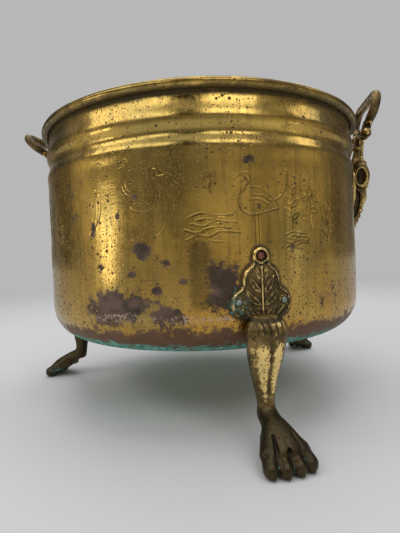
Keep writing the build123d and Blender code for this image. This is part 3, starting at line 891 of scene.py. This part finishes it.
def foot_marks(points):
    """Where a foot is bright from wear and painted highlights, and where it is green."""
    u, y, z = points.T
    ahead = rise(u - 151.5, 2.0, 7.0)
    broad = spline(LEG_Z, [6.4, 5.4, 6.9, 9.7, 12.8, 14.3, 13.6, 9.5], np.clip(z, LEG_Z[0], LEG_TOP))
    # Painted highlight with wear: two bright bands down the front of the leg, with a browner valley between
    # them.
    ridge = bell((np.abs(y) - 0.42 * broad) / broad, 0.25)
    wear_and_painted_light = ahead * (0.24 + 1.16 * ridge) * rise(z, -35, -20) * rise(-z, -16, -6)
    wear_and_painted_light = wear_and_painted_light - 0.25 * rise(z, 8, 14) * rise(-z, -30, -26) - 0.30 * rise(z, 26, 30)
    plate = z > 24
    edge = -outline_distance(PLATE_LOOP, y[plate], z[plate])
    ring = bell(np.hypot(y[plate], z[plate] - EAR_Z) - 5.0, 1.4)
    wear_and_painted_light[plate] = wear_and_painted_light[plate] - 0.75 * np.maximum(bell(edge - 1.4, 1.3), ring)
    wear_and_painted_light = wear_and_painted_light - 0.95 * rise(-z, 28, 40) - 0.8 * rise(-z, 54, 58) * rise(u, 186, 189)
    lumps = noise(u, y, z, 11.0, 3.3)
    green = 0.66 * rise(-z, 42, 58) * (0.6 + 0.6 * lumps) + 0.35 * rise(-u, -154, -150) * rise(z, 20, 30)
    green = green + 0.5 * rise(-y, 2, 12) * rise(z, 26, 34) * rise(-z, -56, -46)
    return wear_and_painted_light, green


def build_feet():
    b = Block((146.5, -25.5, -66.0), (198.5, 25.5, 78.0))
    shape = smin(foot_plate(b), foot_leg(b), 2.2)
    shape = smin(shape, foot_paw(b), 5.5)
    shape = smax(shape, GROUND - b.z, 0.5)
    points, faces, relief = b.surface(shape, 0.10, GROUND - b.z)
    relief = np.where(points[:, 2] < -40, np.minimum(relief, 0.08), relief)
    wear_and_painted_light, green = foot_marks(points)
    for name, azimuth in FEET.items():
        duller, greener = (0.0, 0.0) if name == "front" else (0.9, 0.20)
        marks = {"relief": relief, "wear_and_painted_light": wear_and_painted_light - duller, "green": green + greener}
        build_piece(f"{name}_foot_casting", f"{name}_foot", "foot_brass", place(points, azimuth), faces, marks)


build_feet()


# ---------------- rivets and pins

def turned(profile, dents, seed, count=32):
    """Points and faces of a profile (distance along the axis, radius) turned about the first axis."""
    profile = np.asarray(profile, float)
    angle = np.arange(count) * 2 * math.pi / count
    u, radius = (np.repeat(column[1:-1, None], count, 1) for column in profile.T)
    y, z = radius * np.cos(angle), radius * np.sin(angle)
    bump = dents * noise(u + 31 * seed, y, z, 1.6)
    factor = 1 + bump / np.maximum(radius, 1)
    body = np.stack([u + bump * 0.5, y * factor, z * factor], 2).reshape(-1, 3)
    points = np.vstack([[profile[0, 0], 0, 0], body, [profile[-1, 0], 0, 0]])
    faces = [np.roll(f[:, ::-1], 1, 1) for f in ring_faces(len(profile) - 2, count)]
    return points, faces


def rivet_profile(seat, head_r, head_h):
    """From the peened end inside the pot to the crown of the head."""
    rows = [(PEENED_SEAT - PEENED_H, 0.0)]
    for t in (0.25, 0.5, 0.75, 0.92, 1.0):
        rows.append((PEENED_SEAT - PEENED_H * (1 - t**2.2), PEENED_R * t))
    rows += [(PEENED_SEAT, PEENED_R), (PEENED_SEAT, SHANK_R), (seat, SHANK_R), (seat, head_r)]
    for t in (0.97, 0.88, 0.72, 0.52, 0.28, 0.1):
        rows.append((seat + head_h * (1 - t**2.4), head_r * t))
    rows.append((seat + head_h, 0.0))
    return rows


def rivets(name, node, slot, azimuth, places, head):
    """Rivets with the same head at places (y, z) round an azimuth, joined in one piece."""
    points, quads, fans, start = [], [], [], 0
    for number, (y, z) in enumerate(places):
        here, (sides, ends) = turned(rivet_profile(*head), 0.16, number + len(name))
        tilt = math.degrees(math.asin(y / WALL_R))
        points.append(place(here, tilt + azimuth) + np.array([0, 0, z]))
        quads.append(sides + start)
        fans.append(ends + start)
        start += len(here)
    build_piece(name, node, slot, np.vstack(points), [np.vstack(quads), np.vstack(fans)], {})


def build_rivets():
    ear = [(0.0, EAR_Z)]
    lobes = [(-LOBE_Y, LOBE_Z), (LOBE_Y, LOBE_Z)]
    mount = [(-MOUNT_LOBE_Y, MOUNT_LOBE_Z), (MOUNT_LOBE_Y, MOUNT_LOBE_Z), (0.0, MOUNT_TAIL_Z)]
    for name, azimuth in FEET.items():
        rivets(f"{name}_copper_rivet", f"{name}_foot_top_rivet", "copper_rivet", azimuth, ear, EAR_HEAD)
        rivets(f"{name}_lobe_rivets", f"{name}_foot_side_rivets", "pale_rivet", azimuth, lobes, LOBE_HEAD)
    for name, (azimuth, _) in HANDLES.items():
        rivets(f"{name}_mount_rivets", f"{name}_handle_rivets", "pale_rivet", azimuth, mount, MOUNT_HEAD)


def build_pins():
    """Hinge pins: plain rods that end in beads."""
    angles = [math.radians(d) for d in range(128, 0, -16)]
    bead = [(PIN_BEAD_Y + PIN_BEAD_R * math.cos(a), PIN_BEAD_R * math.sin(a)) for a in angles]
    half = [(0.0, 2.0), (9.0, 2.0), (17.7, 2.0), (17.8, 2.3), (18.4, 2.45)] + bead
    rows = [(-PIN_END, 0.0)] + [(-y, r) for y, r in half[:0:-1]] + half + [(PIN_END, 0.0)]
    points, faces = turned(rows, 0.10, 3, 40)
    points = np.stack([PIVOT_U + points[:, 1], points[:, 0], PIVOT_Z + points[:, 2]], 1)
    faces = [f[:, ::-1] for f in faces]
    for name, (azimuth, _) in HANDLES.items():
        build_piece(f"{name}_pin", f"{name}_hinge_pin", "pin_brass", place(points, azimuth), faces, {})


build_rivets()
build_pins()


# ---------------- handle mounts

def mount_plate(b):
    """The spade plate with a long tail, riveted at its lobes and tail."""
    y, z = b.y[0], b.z[0]
    edge = -outline_distance(MOUNT_LOOP, y, z)
    lines = np.zeros(edge.shape)
    for side in (-1, 1):
        lines = with_leaflets(lines, side * y, z, MOUNT_LEAVES)
    lobe_gap = np.hypot(np.abs(y) - MOUNT_LOBE_Y, z - MOUNT_LOBE_Z)
    rivet_gap = np.minimum(lobe_gap, np.hypot(y, z - MOUNT_TAIL_Z))
    calm = rise(rivet_gap, 2.8, 4.0)
    top = 3.3 * bullnose(edge, 2.0) + 0.7 * bell(edge - 1.5, 0.8) * calm
    top = top + 0.8 * lines * calm * rise(edge, 0.8, 2.0)
    return on_wall(b, top + 0.5 * bell(rivet_gap - 3.3, 0.6), edge)


def mount_keel(b):
    """The keel, arched clear of the plate at its foot and of the rolled edge at its top; under the foot's arch
    a thin fin stands in for the shade there.
    """
    profile = smooth_path([(157.6, 97), (160.8, 105), (164.4, 114), (167.2, 121), (167.5, 129), (169.8, 137),
                           (170.8, 146), (167.4, 156), (163.6, 166), (163.9, 175), (166.8, 182),
                           (159.0, 182.3), (157.2, 171), (154.6, 159), (153.4, 151), (150.6, 147),
                           (150.6, 132), (155.8, 131), (160.4, 126), (160.2, 117), (157.8, 108),
                           (154.4, 101.5), (151.0, 100), (151.0, 96.5)], 4, closed=True)
    keys = [97, 105, 114, 121, 129, 137, 146, 156, 166, 175, 182]
    half = spline(keys, [2.4, 2.9, 2.5, 3.7, 3.3, 4.0, 4.4, 4.4, 3.5, 3.4, 4.4],
                  np.clip(b.z, keys[0], keys[-1]))
    keel = smax(np.abs(b.y) - half, outline_distance(profile, b.u, b.z), 2.0)
    # A dark fin fills the gap under the keel's arch: a sheet put where there is only shade.
    shade_fin_loop = np.array([(151, 99), (158, 99), (165, 118), (164, 130), (151, 133)])
    shade_fin = smax(np.abs(b.y) - 0.7, outline_distance(shade_fin_loop, b.u, b.z), 0.3)
    ridge = 0.7 * bell(b.y, 1.0) * rise(b.z, 128, 134) * rise(-b.z, -168, -162) * rise(b.u, 161, 163)
    keel = smin(keel, shade_fin, 0.3) - ridge
    # cupped leaves stand out on both sides, and a tongue curls outward between them
    for side in (-1, 1):
        cup = b.ball((160.6, side * 6.8, 144.5), (8.0, 5.8, 13.2))
        cup = smax(cup, -b.ball((160.2, side * 13.2, 141.5), (4.9, 7.4, 8.6)), 0.8)
        keel = smin(keel, cup, 1.0)
        curl = b.rod((165.4, side * 4.6, 156.0), (161.4, side * 8.4, 158.6), 2.0, 1.4)
        keel = smin(keel, curl, 1.0)
    tongue = b.ball((167.6, 0, 143.5), (3.4, 7.0, 9.0))
    keel = smin(keel, smax(tongue, -b.ball((172.6, 0, 141.0), (3.4, 4.4, 6.0)), 0.8), 0.5)
    # a collar and beads: height, u, radii
    for height, u, radii in ((171.2, 160.0, (4.5, 5.9, 3.1)), (109.6, 161.0, (3.2, 3.5, 2.4)),
                             (104.2, 158.9, (2.8, 3.1, 2.3)), (98.8, 156.6, (2.6, 2.9, 2.3)),
                             (94.2, 155.2, (2.1, 2.5, 2.0))):
        keel = smin(keel, b.ball((u, 0, height), radii), 0.6)
    clear = 151.0 + 3.0 * rise(b.z, 160, 176)
    return np.where(b.z > 150, smax(keel, clear - b.r, 0.3), keel)


def mount_head(b):
    """The yoke that widens to the barrel, the barrel, and the distance from the pivot."""
    loop = np.array([(-3.8, 163), (3.8, 163), (5.0, 170), (7.6, 177), (8.2, 184), (-8.2, 184),
                     (-7.6, 177), (-5.0, 170)])
    yoke = smax(outline_distance(loop, b.y[0], b.z[0])[None], np.abs(b.u - 162.4) - 2.6, 1.2)
    gap = np.hypot(b.u - PIVOT_U, b.z - PIVOT_Z)
    band = 0.45 * bell(np.abs(b.y) - 7.0, 1.2) + 0.35 * bell(b.y, 1.6)
    barrel = smax(gap - 4.25 - band, np.abs(b.y) - 8.6, 0.8)
    return yoke, barrel, gap


def mount_marks(points):
    """Where a mount is bright from wear and a painted highlight, where it carries painted shade, and where it
    is green.
    """
    u, y, z = points.T
    wear_and_painted_light = 0.45 * rise(u, 158, 165) + 0.25 * rise(z, 170, 180)
    # Painted highlight: a bright bar on the keel's outer edge.
    wear_and_painted_light = wear_and_painted_light + 0.6 * rise(u, 162, 164) * rise(z, 113, 116) * rise(-z, -127, -124)
    # Painted shade on the fin under the keel's arch.
    groove = rise(-np.abs(y), -1.6, -1.0) * rise(z, 99, 102) * rise(-z, -132, -129)
    wear_and_painted_light = wear_and_painted_light - 1.2 * groove * rise(-u, -160.5, -159)
    green = 0.30 * rise(-u, -154, -151) + 0.2 * noise(u, y, z, 9.0, 2.1)
    return wear_and_painted_light, green


def build_mounts():
    b = Block((147.5, -22.0, 77.0), (174.0, 22.0, 188.5))
    yoke, barrel, pivot_gap = mount_head(b)
    shape = smin(smin(mount_keel(b), yoke, 1.6), barrel, 1.4)
    shape = smax(shape, MOUNT_BORE - pivot_gap, 0.2)
    points, faces, relief = b.surface(smin(mount_plate(b), shape, 1.6), 0.08)
    wear_and_painted_light, green = mount_marks(points)
    marks = {"relief": relief, "wear_and_painted_light": wear_and_painted_light, "green": green}
    for name, (azimuth, _) in HANDLES.items():
        here = place(points, azimuth)
        build_piece(f"{name}_mount_casting", f"{name}_handle_mount", "handle_brass", here, faces, marks)


build_mounts()


# ---------------- bails

def rounded_path(corners, radii):
    """A polyline through straight runs joined by arcs of the given radii."""
    p = [np.array(c, float) for c in corners]
    path = [p[0]]
    for a, b, c, radius in zip(p[:-2], p[1:-1], p[2:], radii):
        before, after = (a - b) / np.linalg.norm(a - b), (c - b) / np.linalg.norm(c - b)
        angle = math.acos(float(np.clip(before.dot(after), -1, 1)))
        cut = radius / math.tan(angle / 2)
        start, stop = b + before * cut, b + after * cut
        inward = (before + after) / np.linalg.norm(before + after)
        centre = b + inward * radius / math.sin(angle / 2)
        for t in np.linspace(0, 1, max(3, int(radius * (math.pi - angle)))):
            q = start * (1 - t) + stop * t - centre
            path.append(centre + q / np.linalg.norm(q) * radius)
    path.append(p[-1])
    return np.array(path)


def bail_shape(b):
    """The bent bar, swollen a little and beaded near its eyes. Here z is up from the pivot."""
    half = [(EYE_Y, 0), (13.8, 7), (31.0, 17), (30.5, 34.3)]
    path = rounded_path(half + [(-y, z) for y, z in half[::-1]], [9, 10, 11, 11, 10, 9])
    length = np.linalg.norm(np.diff(path, axis=0), axis=1).sum()
    gap, along = nearest(path, b.y[0], b.z[0])
    from_eye = np.minimum(along, length - along)
    girth = 3.55 + 0.55 * rise(from_eye, 8, 18)
    girth = girth + 0.85 * bell(from_eye - 6.6, 1.1) + 0.75 * bell(from_eye - 9.6, 1.0)
    girth = girth + 0.08 * bell(from_eye - length / 2, 8.0)
    bar = np.hypot(gap[None], b.u) - girth[None]
    pivot_gap = np.hypot(b.u, b.z)
    from_middle = np.abs(np.abs(b.y) - EYE_Y)
    eye = smax(pivot_gap - 5.4, from_middle - 4.15, 1.0)
    shape = smin(bar, eye, 1.6)
    shape = np.where(pivot_gap < 7.4, smax(shape, from_middle - 4.2, 0.2), shape)
    return smax(shape, EYE_BORE - pivot_gap, 0.2)


def build_bails():
    b = Block((-7.5, -37.5, -7.5), (7.5, 37.5, 41.0))
    points, faces, relief = b.surface(bail_shape(b), 0.07)
    across, y, up = points.T
    marks = {"relief": relief, "wear_and_painted_light": 0.35 * rise(up, 22, 34) - 0.42,
             "green": 0.25 * noise(across, y, up, 8.0, 6.6) + 0.12 * rise(-up, -10, 0)}
    for name, (azimuth, lean) in HANDLES.items():
        a = math.radians(lean)
        u = PIVOT_U + across * math.cos(a) + up * math.sin(a)
        z = PIVOT_Z - across * math.sin(a) + up * math.cos(a)
        here, bail = place(np.stack([u, y, z], 1), azimuth), f"{name}_bail"
        build_piece(f"{name}_bail_casting", bail, "handle_brass", here, faces, marks, body=bail)


build_bails()

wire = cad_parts["rim_wire"]
wire.data.materials.clear()
wire.data.materials.append(FINISHES["rim_wire"])


# ---------------- floor, light and camera

BACKDROP = (0.47, 0.475, 0.47)
FLOOR_HALF = 6.0  # metres, like all that follows
POT_MIDDLE = (0, 0, 0.07)


def build_floor():
    """A pale floor. Far off it melts into the backdrop."""
    mesh = bpy.data.meshes.new("floor")
    corners = [(x * FLOOR_HALF, y * FLOOR_HALF, 0.0) for x, y in ((-1, -1), (1, -1), (1, 1), (-1, 1))]
    mesh.from_pydata(corners, [], [(0, 1, 2, 3)])
    floor = bpy.data.objects.new("floor", mesh)
    floor.location.z = GROUND * MM
    bpy.context.scene.collection.objects.link(floor)
    f = Finish("floor")
    f.set(f.shader, {"Base Color": (0.80, 0.80, 0.79), "Roughness": 0.85})
    glow = f.add("ShaderNodeEmission", {"Color": BACKDROP})
    far = f.span(f.value("ShaderNodeVectorMath", {0: f.where}, "Value", operation="LENGTH"), 0.45, 1.8)
    blend = f.add("ShaderNodeMixShader", {0: far, 1: f.shader.outputs[0], 2: glow.outputs[0]})
    f.set(f.tree.nodes["Material Output"], {"Surface": blend.outputs[0]})
    mesh.materials.append(f.material)


# the room's colour from below to above, by height from 0 to 1
ROOM = [(0.40, (0.28, 0.27, 0.25)), (0.56, (0.37, 0.34, 0.29)), (0.70, (0.17, 0.165, 0.16)),
        (0.86, (0.24, 0.24, 0.25)), (0.95, (0.85, 0.88, 0.95))]
# dark cards round the pot: direction, cosines of the full dark and of the edge, what light is left
CARDS = [((-0.03, -1.0, -0.06), 0.9975, 0.9925, 0.12), ((-0.01, -0.84, 0.54), 0.985, 0.965, 0.10),
         ((0.87, 0.50, 0.0), 0.975, 0.82, 0.40), ((-0.87, 0.50, 0.0), 0.975, 0.82, 0.40)]


def build_room():
    """The room that lights the pot and shows in the metal. Behind the pot is the plain backdrop."""
    world = bpy.data.worlds.new("studio")
    bpy.context.scene.world = world
    world.use_nodes = True
    world.node_tree.nodes.clear()
    n = Nodes(world.node_tree, "Generated")
    ramp = n.add("ShaderNodeValToRGB", {0: n.span(n.z, -1.0, 1.0, kind="LINEAR")})
    stops = ramp.color_ramp.elements
    stops[0].position, stops[1].position = ROOM[0][0], ROOM[-1][0]
    for position, _ in ROOM[1:-1]:
        stops.new(position)
    for stop, (_, colour) in zip(stops, ROOM):
        stop.color = (*colour, 1)
    # patchy, never an even grey
    lit = n.span(n.noise(2.6, 3.0, 0.5), 0.30, 0.70, 0.35, 1.65, kind="LINEAR")
    for direction, inner, outer, least in CARDS:
        both = {0: n.where, 1: Vector(direction).normalized()}
        toward = n.value("ShaderNodeVectorMath", both, "Value", operation="DOT_PRODUCT")
        lit = lit * n.span(toward, outer, inner, 1.0, least)
    room = n.add("ShaderNodeBackground", {"Color": ramp.outputs[0], "Strength": lit})
    plain = n.add("ShaderNodeBackground", {"Color": BACKDROP})
    seen = n.add("ShaderNodeLightPath").outputs["Is Camera Ray"]
    swap = n.add("ShaderNodeMixShader", {0: seen, 1: room.outputs[0], 2: plain.outputs[0]})
    n.add("ShaderNodeOutputWorld", {"Surface": swap.outputs[0]})


def softbox(name, azimuth, elevation, distance, width, height, power):
    """A soft rectangular light that looks at the pot."""
    light = bpy.data.lights.new(name, "AREA")
    light.shape = "RECTANGLE"
    light.size, light.size_y, light.energy = width, height, power
    lamp = bpy.data.objects.new(name, light)
    a, e = math.radians(azimuth), math.radians(elevation)
    back = Vector((math.sin(a) * math.cos(e), -math.cos(a) * math.cos(e), math.sin(e)))
    lamp.location = Vector(POT_MIDDLE) + back * distance
    lamp.rotation_euler = (-back).to_track_quat("-Z", "Y").to_euler()
    lamp.visible_camera = False
    bpy.context.scene.collection.objects.link(lamp)


def build_camera():
    data = bpy.data.cameras.new("camera")
    data.lens = 26.0
    data.sensor_width = 36.0
    data.clip_start = 0.01
    camera = bpy.data.objects.new("camera", data)
    bpy.context.scene.collection.objects.link(camera)
    turn, tilt, roll = math.radians(0.53), math.radians(90 - 1.7), math.radians(-2.18)
    camera.matrix_world = (Matrix.Translation((0.0, -0.4095, 0.0708)) @ Matrix.Rotation(turn, 4, "Z")
                           @ Matrix.Rotation(tilt, 4, "X") @ Matrix.Rotation(roll, 4, "Z"))
    bpy.context.scene.camera = camera
    bpy.context.scene.view_settings.view_transform = "Standard"


build_floor()
build_room()
softbox("left_box", -63, 3, 1.2, 0.30, 0.25, 0.66)
softbox("front_left_box", -50, 39, 1.3, 1.25, 0.36, 3.0)
softbox("front_right_box", 22, 39, 1.3, 0.66, 0.36, 1.9)
softbox("right_box", 84, 39, 1.3, 0.40, 0.30, 0.5)
softbox("right_strip", 62, -2, 1.4, 0.07, 0.30, 0.10)
softbox("back_box", 178, 6, 1.4, 0.6, 0.4, 1.1)
softbox("back_right_box", 140, 48, 1.4, 0.6, 0.5, 1.3)
softbox("back_left_box", -150, 48, 1.4, 0.6, 0.5, 1.3)
softbox("top_box", 0, 89, 1.6, 1.2, 1.2, 5.0)
build_camera()
